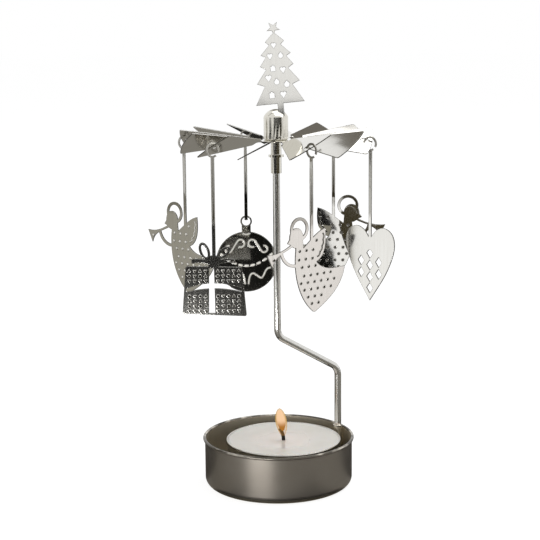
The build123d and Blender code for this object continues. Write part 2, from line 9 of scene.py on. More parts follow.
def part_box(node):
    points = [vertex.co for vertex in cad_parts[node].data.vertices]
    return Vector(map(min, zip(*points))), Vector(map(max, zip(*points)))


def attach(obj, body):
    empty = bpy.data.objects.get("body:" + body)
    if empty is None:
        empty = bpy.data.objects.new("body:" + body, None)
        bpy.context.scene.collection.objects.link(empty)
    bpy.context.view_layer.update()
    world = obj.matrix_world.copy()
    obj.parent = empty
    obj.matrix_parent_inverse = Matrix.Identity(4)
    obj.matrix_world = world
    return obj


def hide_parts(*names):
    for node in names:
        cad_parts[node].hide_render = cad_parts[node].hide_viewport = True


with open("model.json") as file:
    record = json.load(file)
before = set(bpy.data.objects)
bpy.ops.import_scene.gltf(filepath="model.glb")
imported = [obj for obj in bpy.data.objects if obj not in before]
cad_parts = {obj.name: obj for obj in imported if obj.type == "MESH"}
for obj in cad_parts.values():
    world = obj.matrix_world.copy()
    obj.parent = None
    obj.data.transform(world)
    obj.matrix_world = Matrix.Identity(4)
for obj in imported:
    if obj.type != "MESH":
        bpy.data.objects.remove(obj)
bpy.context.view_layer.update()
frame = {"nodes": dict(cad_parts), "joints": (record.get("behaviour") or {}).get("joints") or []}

# Looks of a rotary tealight carousel of polished sheet steel. Metres, +Z up, front towards -Y.
MM = 0.001
UP = (0, 0, 1)
FRONT = (0, -1, 0)
solids = frame["nodes"]

# Camera, fitted to the tray, rod and wheel in a square picture
CAMERA_PLACE = Vector((-2.3, -432.4, 148.5)) * MM
CAMERA_PITCH = 10.08
CAMERA_ROLL = -0.52
CAMERA_ANGLE = 22.62

# Tealight, read from its solids
cup_low, cup_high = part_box("tealight_cup")
wax_low, wax_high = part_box("tealight_wax")
wick_low, wick_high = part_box("wick")
tealight_x = (cup_low.x + cup_high.x) / 2
tealight_y = (cup_low.y + cup_high.y) / 2
tealight_spot = Vector((tealight_x, tealight_y, 0))
cup_radius = (cup_high.x - cup_low.x) / 2
wax_radius = (wax_high.x - wax_low.x) / 2
wick_radius = (wick_high.y - wick_low.y) / 2

# Tray, read from its solid
tray_low, tray_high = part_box("candle_tray")
tray_radius = (tray_high.y - tray_low.y) / 2

# Stamped sheet: its thickness, and the height above which a pendant is only its stem
SHEET_THICKNESS = 0.35 * MM
STEM_LEVEL = 89.0 * MM
STEM_BLEND = 2.0 * MM

# Sizes of the pieces that are only looks
CUP_SHEET = 0.25 * MM
CUP_LIP = 0.25 * MM
CUP_FOOT = 0.8 * MM
POOL_RADIUS = 9.0 * MM
POOL_DEPTH = 0.35 * MM
WAX_BELOW_LIP = 0.15 * MM
WICK_BEND_RADIUS = 6.5 * MM
WICK_BEND = 36
WICK_SWELL = 1.2
FLAME_HEIGHT = 9.6 * MM
FLAME_WIDTH = 3.9 * MM
FLAME_ABOVE_WAX = 1.2 * MM
FLAME_LEAN = -0.12
CORE_SHARE = 0.8
CORE_RAISE = 1.7 * MM
CORE_BELOW_TIP = 0.4 * MM
LATHE_STEPS = 96

# The flame's outline from its foot to its tip, in shares of its half width and its height
FLAME_OUTLINE = [
    (0, 0), (0.34, 0.03), (0.62, 0.14), (0.92, 0.34), (1, 0.52), (0.92, 0.70), (0.68, 0.86), (0.36, 0.96),
    (0, 1),
]


def linear(colour):
    """Linear RGBA from an sRGB hex colour."""
    values = [int(colour[start:start + 2], 16) / 255 for start in (1, 3, 5)]
    return [v / 12.92 if v <= 0.04045 else ((v + 0.055) / 1.055) ** 2.4 for v in values] + [1.0]


def add(tree, kind, links=None, **settings):
    """Add a node; links sets its inputs by name or number, to a value or from another node's output."""
    made = tree.nodes.new(kind)
    for name, value in settings.items():
        setattr(made, name, value)
    for name, value in (links or {}).items():
        if isinstance(value, bpy.types.NodeSocket):
            tree.links.new(value, made.inputs[name])
        else:
            made.inputs[name].default_value = value
    return made


def bare_material(name):
    """A material with an empty tree."""
    material = bpy.data.materials.new(name)
    material.use_nodes = True
    material.node_tree.nodes.clear()
    return material, material.node_tree


def dress(solid, material):
    """Give a solid its finish."""
    for slot in solids[solid].material_slots:
        slot.material = material


# Materials

def satin_drawn_steel():
    """Deep-drawn steel: satin rings outside draw each light out, and the inside is painted brighter, as
    painted light.

    The rim is painted dark and glossy, with patches of painted highlight.
    """
    ring_spacing = 0.45 * MM
    stain_size = 14 * MM
    highlight_patch_size = 6 * MM
    wall_middle = tray_radius - 0.8 * MM
    rim_start = tray_high.z - 0.45 * MM
    blend = 0.1 * MM
    material, tree = bare_material("satin_drawn_steel")
    place = add(tree, "ShaderNodeTexCoord").outputs["Object"]
    flat = add(tree, "ShaderNodeVectorMath", {0: place, 1: (1, 1, 0)}, operation="MULTIPLY")
    radius = add(tree, "ShaderNodeVectorMath", {0: flat.outputs[0]}, operation="LENGTH").outputs["Value"]
    height = add(tree, "ShaderNodeSeparateXYZ", {0: place}).outputs["Z"]
    along = add(tree, "ShaderNodeMath", {0: radius, 1: height}, operation="ADD")
    rings = add(tree, "ShaderNodeTexNoise",
                {"W": along.outputs[0], "Scale": 1 / ring_spacing, "Detail": 3.0}, noise_dimensions="1D")
    stains = add(tree, "ShaderNodeTexNoise", {"Vector": place, "Scale": 1 / stain_size, "Detail": 4.0})
    highlight_patch_noise = add(tree, "ShaderNodeTexNoise", {"Vector": place, "Scale": 1 / highlight_patch_size, "Detail": 2.0})
    painted_highlight_patches = add(tree, "ShaderNodeMapRange", {0: highlight_patch_noise.outputs[0], 1: 0.48, 2: 0.66})
    inside = add(tree, "ShaderNodeMapRange", {0: radius, 1: wall_middle + blend, 2: wall_middle - blend})
    rim = add(tree, "ShaderNodeMapRange", {0: height, 1: rim_start - blend, 2: rim_start + blend})
    satin = add(tree, "ShaderNodeMix",
                {0: stains.outputs[0], 6: linear("#8d867d"), 7: linear("#a49e96")}, data_type="RGBA")
    # Inside the wall the steel is painted a brighter colour than outside: painted light.
    drawn = add(tree, "ShaderNodeMix",
                {0: inside.outputs[0], 6: satin.outputs[2], 7: linear("#dad1be")}, data_type="RGBA")
    # The rim is painted dark, with noise-placed patches of painted highlight.
    rim_painted_shade_and_highlights = add(tree, "ShaderNodeMix",
                    {0: painted_highlight_patches.outputs[0], 6: linear("#55514a"), 7: linear("#c4beb3")},
                    data_type="RGBA")
    colour = add(tree, "ShaderNodeMix",
                 {0: rim.outputs[0], 6: drawn.outputs[2], 7: rim_painted_shade_and_highlights.outputs[2]}, data_type="RGBA")
    satin_dulling = add(tree, "ShaderNodeMapRange", {0: rings.outputs[0], 3: 0.30, 4: 0.44})
    dulling = add(tree, "ShaderNodeMix", {0: rim.outputs[0], 2: satin_dulling.outputs[0], 3: 0.16},
                  data_type="FLOAT")
    relief = add(tree, "ShaderNodeBump",
                 {"Height": rings.outputs[0], "Strength": 0.12, "Distance": 0.02 * MM})
    around = add(tree, "ShaderNodeVectorMath", {0: UP, 1: place}, operation="CROSS_PRODUCT")
    normal = add(tree, "ShaderNodeNewGeometry").outputs["Normal"]
    across = add(tree, "ShaderNodeVectorMath", {0: normal, 1: around.outputs[0]}, operation="CROSS_PRODUCT")
    shader = add(tree, "ShaderNodeBsdfPrincipled", {
        "Base Color": colour.outputs[2], "Roughness": dulling.outputs[0], "Normal": relief.outputs[0],
        "Tangent": across.outputs[0], "Metallic": 1.0, "Anisotropic": 0.4})
    add(tree, "ShaderNodeOutputMaterial", {"Surface": shader.outputs[0]})
    return material


def bright_drawn_wire():
    """Cold-drawn steel wire: bright, with long streaks left by the drawing die."""
    streak_width = 0.5 * MM
    streak_length = 30 * MM
    material, tree = bare_material("bright_drawn_wire")
    place = add(tree, "ShaderNodeTexCoord").outputs["Object"]
    stretched = add(tree, "ShaderNodeMapping", {
        "Vector": place, "Scale": (1 / streak_width, 1 / streak_width, 1 / streak_length)})
    streaks = add(tree, "ShaderNodeTexNoise", {"Vector": stretched.outputs[0], "Scale": 1.0, "Detail": 3.0})
    colour = add(tree, "ShaderNodeMix",
                 {0: streaks.outputs[0], 6: linear("#c9c8c4"), 7: linear("#e2e1dd")}, data_type="RGBA")
    dulling = add(tree, "ShaderNodeMapRange", {0: streaks.outputs[0], 3: 0.10, 4: 0.24})
    relief = add(tree, "ShaderNodeBump",
                 {"Height": streaks.outputs[0], "Strength": 0.1, "Distance": 0.02 * MM})
    shader = add(tree, "ShaderNodeBsdfPrincipled", {
        "Base Color": colour.outputs[2], "Roughness": dulling.outputs[0], "Normal": relief.outputs[0],
        "Metallic": 1.0})
    add(tree, "ShaderNodeOutputMaterial", {"Surface": shader.outputs[0]})
    return material


def weld_bead():
    """Steel weld: small overlapping ripples that shade from straw grey to bright."""
    ripple_size = 0.5 * MM
    material, tree = bare_material("weld_bead")
    place = add(tree, "ShaderNodeTexCoord").outputs["Object"]
    ripples = add(tree, "ShaderNodeTexNoise", {"Vector": place, "Scale": 1 / ripple_size, "Detail": 2.0})
    colour = add(tree, "ShaderNodeMix",
                 {0: ripples.outputs[0], 6: linear("#8f8577"), 7: linear("#cfc9bd")}, data_type="RGBA")
    relief = add(tree, "ShaderNodeBump",
                 {"Height": ripples.outputs[0], "Strength": 0.6, "Distance": 0.15 * MM})
    shader = add(tree, "ShaderNodeBsdfPrincipled", {
        "Base Color": colour.outputs[2], "Roughness": 0.28, "Normal": relief.outputs[0], "Metallic": 1.0})
    add(tree, "ShaderNodeOutputMaterial", {"Surface": shader.outputs[0]})
    return material


def nickel_plate():
    """Turned and nickel-plated metal: nearly a mirror, warm, with faint turning rings."""
    ring_spacing = 0.4 * MM
    material, tree = bare_material("nickel_plate")
    place = add(tree, "ShaderNodeTexCoord").outputs["Object"]
    height = add(tree, "ShaderNodeSeparateXYZ", {0: place})
    rings = add(tree, "ShaderNodeTexNoise",
                {"W": height.outputs["Z"], "Scale": 1 / ring_spacing, "Detail": 2.0}, noise_dimensions="1D")
    colour = add(tree, "ShaderNodeMix",
                 {0: rings.outputs[0], 6: linear("#cfccc2"), 7: linear("#e2dfd6")}, data_type="RGBA")
    dulling = add(tree, "ShaderNodeMapRange", {0: rings.outputs[0], 3: 0.04, 4: 0.12})
    shader = add(tree, "ShaderNodeBsdfPrincipled", {
        "Base Color": colour.outputs[2], "Roughness": dulling.outputs[0], "Metallic": 1.0})
    add(tree, "ShaderNodeOutputMaterial", {"Surface": shader.outputs[0]})
    return material


def rolling_hairlines(tree, place, face_direction, hairline_direction):
    """Noise drawn out into hairlines that run one way along a sheet."""
    hairline_width = 0.35 * MM
    hairline_length = 12 * MM
    along = Vector(hairline_direction)
    across = Vector(face_direction).cross(along)
    lines_across = add(tree, "ShaderNodeVectorMath", {0: place, 1: across / hairline_width},
                       operation="DOT_PRODUCT")
    lines_along = add(tree, "ShaderNodeVectorMath", {0: place, 1: along / hairline_length},
                      operation="DOT_PRODUCT")
    lines_place = add(tree, "ShaderNodeCombineXYZ",
                      {0: lines_across.outputs["Value"], 1: lines_along.outputs["Value"]})
    return add(tree, "ShaderNodeTexNoise",
               {"Vector": lines_place.outputs[0], "Scale": 1.0, "Detail": 2.0}).outputs[0]


def pressed_marks(tree, place, face_direction, sheet_point, facing):
    """Two masks on a figure's front, by how far a spot lies off its sheet: the marks and their middles."""
    mark_start = 0.02 * MM
    mark_full = 0.05 * MM
    middle_start = 0.10 * MM
    middle_full = 0.15 * MM
    from_sheet = add(tree, "ShaderNodeVectorMath", {0: place, 1: sheet_point}, operation="SUBTRACT")
    depth = add(tree, "ShaderNodeVectorMath", {0: from_sheet.outputs[0], 1: face_direction},
                operation="DOT_PRODUCT")
    from_middle = add(tree, "ShaderNodeMath", {0: depth.outputs["Value"]}, operation="ABSOLUTE")
    off_face = add(tree, "ShaderNodeMath", {0: from_middle.outputs[0], 1: SHEET_THICKNESS / 2},
                   operation="SUBTRACT")
    off_either = add(tree, "ShaderNodeMath", {0: off_face.outputs[0]}, operation="ABSOLUTE")
    front = add(tree, "ShaderNodeMath", {0: facing, 1: 0.2}, operation="GREATER_THAN")
    off_front = add(tree, "ShaderNodeMath", {0: off_either.outputs[0], 1: front.outputs[0]},
                    operation="MULTIPLY")
    mark = add(tree, "ShaderNodeMapRange", {0: off_front.outputs[0], 1: mark_start, 2: mark_full})
    middle = add(tree, "ShaderNodeMapRange", {0: off_front.outputs[0], 1: middle_start, 2: middle_full})
    return mark.outputs[0], middle.outputs[0]


def polished_sheet(name, face_direction, hairline_direction, blur, marks=None):
    """Mirror-polished steel sheet: nearly flat, with hairlines and dull, darker sheared edges, and a painted
    dark outline, painted shade, on the face along its corners.

    face_direction is square to the sheet, hairlines run along hairline_direction, and blur is the least
    roughness. A stamped figure gives its marks: a point in its sheet, the colour painted on their sloped
    sides and that painted on their middles, as painted highlight and painted shade. Its stem, which is
    twisted, counts as face all round and is painted a darker grey, as painted shade.
    """
    wave_size = 9 * MM
    corner_radius = 0.3 * MM
    material, tree = bare_material(name)
    coordinates = add(tree, "ShaderNodeTexCoord").outputs
    place = coordinates["Object"]
    hairlines = rolling_hairlines(tree, place, face_direction, hairline_direction)
    waves = add(tree, "ShaderNodeTexNoise", {"Vector": place, "Scale": 1 / wave_size, "Detail": 1.0})
    facing = add(tree, "ShaderNodeVectorMath", {0: coordinates["Normal"], 1: face_direction},
                 operation="DOT_PRODUCT").outputs["Value"]
    flatness = add(tree, "ShaderNodeMath", {0: facing}, operation="ABSOLUTE")
    face = add(tree, "ShaderNodeMapRange", {0: flatness.outputs[0], 1: 0.25, 2: 0.45}).outputs[0]
    normal = add(tree, "ShaderNodeNewGeometry").outputs["Normal"]
    corners = add(tree, "ShaderNodeBevel", {"Radius": corner_radius}, samples=4)
    straight = add(tree, "ShaderNodeVectorMath", {0: corners.outputs[0], 1: normal}, operation="DOT_PRODUCT")
    clear_of_painted_outline = add(tree, "ShaderNodeMapRange", {0: straight.outputs["Value"], 1: 0.90, 2: 0.985}).outputs[0]
    polish = add(tree, "ShaderNodeMix", {0: hairlines, 6: linear("#d6d4ce"), 7: linear("#ecebe7")},
                 data_type="RGBA").outputs[2]
    gloss = add(tree, "ShaderNodeMapRange", {0: hairlines, 3: blur, 4: blur + 0.05}).outputs[0]
    if marks:
        sheet_point, side_light_and_shade, middle_light_and_shade = marks
        height = add(tree, "ShaderNodeSeparateXYZ", {0: place}).outputs["Z"]
        stem = add(tree, "ShaderNodeMapRange",
                   {0: height, 1: STEM_LEVEL, 2: STEM_LEVEL + STEM_BLEND}).outputs[0]
        mark, middle = pressed_marks(tree, place, face_direction, sheet_point, facing)
        # The marks' sides and middles get colours that stand for light and shade: painted highlight and
        # painted shade, set per figure.
        painted_mark_light_and_shade = add(tree, "ShaderNodeMix", {0: middle, 6: linear(side_light_and_shade), 7: linear(middle_light_and_shade)},
                      data_type="RGBA")
        polish = add(tree, "ShaderNodeMix", {0: mark, 6: polish, 7: painted_mark_light_and_shade.outputs[2]},
                     data_type="RGBA").outputs[2]
        # The stem is painted a darker grey than the polish: painted shade.
        polish = add(tree, "ShaderNodeMix", {0: stem, 6: polish, 7: linear("#b0aea8")},
                     data_type="RGBA").outputs[2]
        gloss = add(tree, "ShaderNodeMix", {0: mark, 2: gloss, 3: 0.5}, data_type="FLOAT").outputs[0]
        face = add(tree, "ShaderNodeMath", {0: face, 1: stem}, operation="MAXIMUM").outputs[0]
        clear_of_painted_outline = add(tree, "ShaderNodeMath", {0: clear_of_painted_outline, 1: mark}, operation="MAXIMUM").outputs[0]
    # Sheared edges are dull dark grey, and the face within the corner radius of them is painted the same dark
    # grey: a painted dark outline, painted shade.
    bright = add(tree, "ShaderNodeMath", {0: face, 1: clear_of_painted_outline}, operation="MINIMUM").outputs[0]
    colour = add(tree, "ShaderNodeMix", {0: bright, 6: linear("#55524b"), 7: polish}, data_type="RGBA")
    dulling = add(tree, "ShaderNodeMix", {0: bright, 2: 0.4, 3: gloss}, data_type="FLOAT")
    relief = add(tree, "ShaderNodeBump", {
        "Height": waves.outputs[0], "Strength": 0.2, "Distance": 0.12 * MM, "Normal": corners.outputs[0]})
    shader = add(tree, "ShaderNodeBsdfPrincipled", {
        "Base Color": colour.outputs[2], "Roughness": dulling.outputs[0], "Normal": relief.outputs[0],
        "Metallic": 1.0})
    add(tree, "ShaderNodeOutputMaterial", {"Surface": shader.outputs[0]})
    return material


def rolled_aluminium():
    """Thin bright aluminium of the tealight cup, with fine vertical rolling marks."""
    mark_width = 0.6 * MM
    mark_length = 25 * MM
    material, tree = bare_material("rolled_aluminium")
    place = add(tree, "ShaderNodeTexCoord").outputs["Object"]
    squeezed = add(tree, "ShaderNodeMapping", {
        "Vector": place, "Scale": (1 / mark_width, 1 / mark_width, 1 / mark_length)})
    marks = add(tree, "ShaderNodeTexNoise", {"Vector": squeezed.outputs[0], "Scale": 1.0, "Detail": 2.0})
    colour = add(tree, "ShaderNodeMix",
                 {0: marks.outputs[0], 6: linear("#b9b6af"), 7: linear("#dddbd6")}, data_type="RGBA")
    dulling = add(tree, "ShaderNodeMapRange", {0: marks.outputs[0], 3: 0.16, 4: 0.30})
    shader = add(tree, "ShaderNodeBsdfPrincipled", {
        "Base Color": colour.outputs[2], "Roughness": dulling.outputs[0], "Metallic": 1.0})
    add(tree, "ShaderNodeOutputMaterial", {"Surface": shader.outputs[0]})
    return material


def tin_plate():
    """Tin-plated steel of the wick's foot: a soft grey sheen with a faint bloom of crystals."""
    crystal_size = 1.5 * MM
    material, tree = bare_material("tin_plate")
    place = add(tree, "ShaderNodeTexCoord").outputs["Object"]
    crystals = add(tree, "ShaderNodeTexVoronoi", {"Vector": place, "Scale": 1 / crystal_size})
    colour = add(tree, "ShaderNodeMix",
                 {0: crystals.outputs["Distance"], 6: linear("#a9a8a4"), 7: linear("#c4c3bf")},
                 data_type="RGBA")
    shader = add(tree, "ShaderNodeBsdfPrincipled", {
        "Base Color": colour.outputs[2], "Roughness": 0.32, "Metallic": 1.0})
    add(tree, "ShaderNodeOutputMaterial", {"Surface": shader.outputs[0]})
    return material


def paraffin_wax():
    """Off-white paraffin: light soaks into it, and the pool round the wick is melted clear and glossy."""
    mottle_size = 6 * MM
    pool_edge = 6 * MM
    material, tree = bare_material("paraffin_wax")
    place = add(tree, "ShaderNodeTexCoord").outputs["Object"]
    mottle = add(tree, "ShaderNodeTexNoise", {"Vector": place, "Scale": 1 / mottle_size, "Detail": 5.0})
    from_wick = add(tree, "ShaderNodeVectorMath", {0: place, 1: tealight_spot}, operation="SUBTRACT")
    flat = add(tree, "ShaderNodeVectorMath", {0: from_wick.outputs[0], 1: (1, 1, 0)}, operation="MULTIPLY")
    radius = add(tree, "ShaderNodeVectorMath", {0: flat.outputs[0]}, operation="LENGTH")
    ragged = add(tree, "ShaderNodeMath", {0: mottle.outputs[0], 1: pool_edge, 2: radius.outputs["Value"]},
                 operation="MULTIPLY_ADD")
    solid = add(tree, "ShaderNodeMapRange",
                {0: ragged.outputs[0], 1: POOL_RADIUS, 2: POOL_RADIUS + pool_edge})
    set_wax = add(tree, "ShaderNodeMix",
                  {0: mottle.outputs[0], 6: linear("#e0dcd3"), 7: linear("#f2efe9")}, data_type="RGBA")
    colour = add(tree, "ShaderNodeMix",
                 {0: solid.outputs[0], 6: linear("#efe7df"), 7: set_wax.outputs[2]}, data_type="RGBA")
    dulling = add(tree, "ShaderNodeMapRange", {0: solid.outputs[0], 3: 0.10, 4: 0.45})
    relief = add(tree, "ShaderNodeBump",
                 {"Height": mottle.outputs[0], "Strength": 0.15, "Distance": 0.2 * MM})
    shader = add(tree, "ShaderNodeBsdfPrincipled", {
        "Base Color": colour.outputs[2], "Roughness": dulling.outputs[0], "Normal": relief.outputs[0],
        "IOR": 1.44, "Subsurface Weight": 0.35, "Subsurface Radius": (1.0, 0.8, 0.6),
        "Subsurface Scale": 2.0 * MM})
    add(tree, "ShaderNodeOutputMaterial", {"Surface": shader.outputs[0]})
    return material


def charred_cotton():
    """Braided cotton wick, burnt black."""
    braid_size = 0.35 * MM
    material, tree = bare_material("charred_cotton")
    place = add(tree, "ShaderNodeTexCoord").outputs["Object"]
    braid = add(tree, "ShaderNodeTexNoise", {"Vector": place, "Scale": 1 / braid_size, "Detail": 3.0})
    colour = add(tree, "ShaderNodeMix",
                 {0: braid.outputs[0], 6: linear("#050403"), 7: linear("#1d140d")}, data_type="RGBA")
    relief = add(tree, "ShaderNodeBump",
                 {"Height": braid.outputs[0], "Strength": 0.8, "Distance": 0.15 * MM})
    shader = add(tree, "ShaderNodeBsdfPrincipled", {
        "Base Color": colour.outputs[2], "Roughness": 0.9, "Normal": relief.outputs[0]})
    add(tree, "ShaderNodeOutputMaterial", {"Surface": shader.outputs[0]})
    return material


def candle_flame(name, bottom_colour, top_colour, low, high, middle_clear, edge_clear):
    """Glowing gas: its colour climbs from low to high, and seen edge-on near its top it is at its densest."""
    flicker_size = 2.5 * MM
    flicker_reach = 0.8 * MM
    material, tree = bare_material(name)
    place = add(tree, "ShaderNodeTexCoord").outputs["Object"]
    height = add(tree, "ShaderNodeSeparateXYZ", {0: place})
    flicker = add(tree, "ShaderNodeTexNoise", {"Vector": place, "Scale": 1 / flicker_size, "Detail": 1.0})
    uneven = add(tree, "ShaderNodeMath", {0: flicker.outputs[0], 1: flicker_reach, 2: height.outputs["Z"]},
                 operation="MULTIPLY_ADD")
    climb = add(tree, "ShaderNodeMapRange", {0: uneven.outputs[0], 1: low, 2: high},
                interpolation_type="SMOOTHSTEP")
    colour = add(tree, "ShaderNodeMix",
                 {0: climb.outputs[0], 6: linear(bottom_colour), 7: linear(top_colour)}, data_type="RGBA")
    edge = add(tree, "ShaderNodeLayerWeight", {"Blend": 0.5})
    dense = add(tree, "ShaderNodeMath", {0: edge.outputs["Facing"], 1: climb.outputs[0]},
                operation="MULTIPLY")
    clearness = add(tree, "ShaderNodeMapRange",
                    {0: dense.outputs[0], 1: 0.15, 2: 0.7, 3: middle_clear, 4: edge_clear})
    glow = add(tree, "ShaderNodeEmission", {"Color": colour.outputs[2], "Strength": 1.0})
    clear = add(tree, "ShaderNodeBsdfTransparent")
    surface = add(tree, "ShaderNodeMixShader",
                  {0: clearness.outputs[0], 1: glow.outputs[0], 2: clear.outputs[0]})
    add(tree, "ShaderNodeOutputMaterial", {"Surface": surface.outputs[0]})
    return material


# Pieces

def object_from(shape, name, material):
    """Turn a bmesh into an object in the scene."""
    mesh = bpy.data.meshes.new(name)
    shape.to_mesh(mesh)
    shape.free()
    mesh.materials.append(material)
    made = bpy.data.objects.new(name, mesh)
    bpy.context.scene.collection.objects.link(made)
    return made


def piece_from(shape, name, material):
    """Turn a bmesh into a smooth piece that rides on the tealight."""
    bmesh.ops.remove_doubles(shape, verts=shape.verts, dist=0.001 * MM)
    bmesh.ops.recalc_face_normals(shape, faces=shape.faces)
    piece = object_from(shape, name, material)
    piece.data.shade_smooth()
    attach(piece, "tealight")
    return piece


def lathe(outline, centre):
    """A bmesh spun about the upright line through centre, from an outline of (radius, height) points."""
    shape = bmesh.new()
    points = [shape.verts.new((centre.x + radius, centre.y, height)) for radius, height in outline]
    edges = [shape.edges.new(pair) for pair in zip(points, points[1:])]
    bmesh.ops.spin(shape, geom=points + edges, cent=centre, axis=UP, angle=math.tau, steps=LATHE_STEPS,
                   use_merge=True)
    return shape


def round_off(piece, width, angle):
    """Round those edges of a turned piece that are sharper than an angle."""
    rounding = piece.modifiers.new("rounding", "BEVEL")
    rounding.width = width
    rounding.segments = 3
    rounding.limit_method = "ANGLE"
    rounding.angle_limit = math.radians(angle)
    rounding.harden_normals = True


def tealight_cup(material):
    """Thin cup with a curled lip and a rounded foot."""
    wall = cup_radius - CUP_LIP
    inside = wall - CUP_SHEET
    bottom = cup_low.z
    top = cup_high.z
    shape = lathe([
        (0, bottom), (wall - CUP_FOOT, bottom), (wall, bottom + CUP_FOOT), (wall, top - 3 * CUP_LIP),
        (wall + 0.6 * CUP_LIP, top - 2.4 * CUP_LIP), (cup_radius, top - 1.2 * CUP_LIP),
        (wall + 0.6 * CUP_LIP, top - 0.2 * CUP_LIP), (wall - 0.4 * CUP_SHEET, top), (inside, top - CUP_SHEET),
        (inside, bottom + CUP_SHEET), (0, bottom + CUP_SHEET),
    ], tealight_spot)
    piece = piece_from(shape, "tealight_cup_curled", material)
    round_off(piece, 0.07 * MM, 30)
    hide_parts("tealight_cup")


def tealight_wax(material):
    """Wax with a shallow melted pool, an edge that creeps up the cup and a collar at the wick."""
    top = wax_high.z
    brim = cup_high.z - WAX_BELOW_LIP
    pool = top - POOL_DEPTH
    collar = 1.6 * wick_radius
    shape = lathe([
        (0, wax_low.z), (wax_radius, wax_low.z), (wax_radius, brim), (wax_radius - 0.6 * MM, brim - 0.1 * MM),
        (wax_radius - 2.2 * MM, top + 0.1 * MM), (wax_radius - 4.5 * MM, top), (POOL_RADIUS + 1.5 * MM, top),
        (POOL_RADIUS, top - 0.4 * POOL_DEPTH), (POOL_RADIUS - 2 * MM, pool), (2.5 * collar, pool),
        (collar, top - 0.5 * POOL_DEPTH), (0, top - 0.2 * POOL_DEPTH),
    ], tealight_spot)
    piece = piece_from(shape, "tealight_wax_melted", material)
    round_off(piece, 0.3 * MM, 10)
    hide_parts("tealight_wax")


def wick(material):
    """Wick that stands in the wax, bends over to one side and swells at its burnt end."""
    shape = bmesh.new()
    ring = bmesh.ops.create_circle(shape, segments=12, radius=wick_radius, cap_ends=True)["verts"]
    bmesh.ops.translate(shape, verts=ring, vec=(tealight_x, tealight_y, wick_low.z))
    raised = bmesh.ops.extrude_face_region(shape, geom=list(shape.faces))["geom"]
    ring = [item for item in raised if isinstance(item, bmesh.types.BMVert)]
    bmesh.ops.translate(shape, verts=ring, vec=(0, 0, wax_high.z - wick_low.z))
    top = next(face for face in shape.faces if all(vert in ring for vert in face.verts))
    centre = (tealight_x - WICK_BEND_RADIUS, tealight_y, wax_high.z)
    bent = bmesh.ops.spin(shape, geom=[*top.verts, *top.edges, top], cent=centre, axis=FRONT,
                          angle=math.radians(WICK_BEND), steps=8)["geom_last"]
    tip = [item for item in bent if isinstance(item, bmesh.types.BMVert)]
    middle = sum((vert.co for vert in tip), Vector()) / len(tip)
    bmesh.ops.scale(shape, verts=tip, vec=[WICK_SWELL] * 3, space=Matrix.Translation(-middle))
    piece = piece_from(shape, "wick_burnt", material)
    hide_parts("wick")


def flame(name, material, width, bottom, top):
    """A rounded drop, blunt at the top, that leans with the draught."""
    half = width / 2
    height = top - bottom
    shape = lathe([(half * across, bottom + height * rise) for across, rise in FLAME_OUTLINE], tealight_spot)
    lean = Matrix.Identity(4)
    lean[0][2] = FLAME_LEAN
    around = Matrix.Translation(Vector((0, 0, wax_high.z)))
    bmesh.ops.transform(shape, matrix=around @ lean @ around.inverted(), verts=shape.verts)
    piece = piece_from(shape, name, material)
    smooth = piece.modifiers.new("smooth", "SUBSURF")
    smooth.levels = 1
    smooth.render_levels = 1


# Stage

def reflection_card(name, colour, place):
    """A unit square card put in its place, seen by glossy rays alone."""
    material, tree = bare_material(name)
    glow = add(tree, "ShaderNodeEmission", {"Color": linear(colour), "Strength": 1.0})
    add(tree, "ShaderNodeOutputMaterial", {"Surface": glow.outputs[0]})
    shape = bmesh.new()
    bmesh.ops.create_grid(shape, x_segments=1, y_segments=1, size=0.5, matrix=place)
    card = object_from(shape, name, material)
    card.visible_camera = False
    card.visible_diffuse = False
    card.visible_shadow = False
    card.visible_transmission = False


def table_card(name, colour, low, high, height):
    """A card that lies just above the table, from one corner to the other."""
    middle = ((low[0] + high[0]) / 2, (low[1] + high[1]) / 2, height)
    spread = Matrix.Diagonal((high[0] - low[0], high[1] - low[1], 1, 1))
    reflection_card(name, colour, Matrix.Translation(middle) @ spread)


def upright_card(name, colour, place, width, height, turn):
    """A card that stands upright, and faces the front before it turns about the vertical."""
    spread = Matrix.Diagonal((width, 1, height, 1))
    turned = Matrix.Rotation(math.radians(turn), 4, "Z")
    raised = Matrix.Rotation(math.radians(90), 4, "X")
    reflection_card(name, colour, Matrix.Translation(place) @ turned @ spread @ raised)


def in_sight(tree):
    """1 for the rays by which a thing is seen, straight, mirrored or through another, and 0 for the rest."""
    ray = add(tree, "ShaderNodeLightPath").outputs
    seen = add(tree, "ShaderNodeMath", {0: ray["Is Camera Ray"], 1: ray["Is Glossy Ray"]}, operation="ADD")
    shown = add(tree, "ShaderNodeMath", {0: seen.outputs[0], 1: ray["Is Transmission Ray"]}, operation="ADD")
    return shown.outputs[0]


def pale_floor():
    """White table that keeps a faint shadow."""
    material, tree = bare_material("white_table")
    strength = add(tree, "ShaderNodeMath", {0: in_sight(tree), 1: 0.86}, operation="MULTIPLY")
    glow = add(tree, "ShaderNodeEmission", {"Color": linear("#ffffff"), "Strength": strength.outputs[0]})
    matt = add(tree, "ShaderNodeBsdfDiffuse", {"Color": (0.25, 0.25, 0.25, 1)})
    both = add(tree, "ShaderNodeAddShader", {0: glow.outputs[0], 1: matt.outputs[0]})
    add(tree, "ShaderNodeOutputMaterial", {"Surface": both.outputs[0]})
    shape = bmesh.new()
    bmesh.ops.create_grid(shape, x_segments=1, y_segments=1, size=8.0)
    object_from(shape, "floor", material)


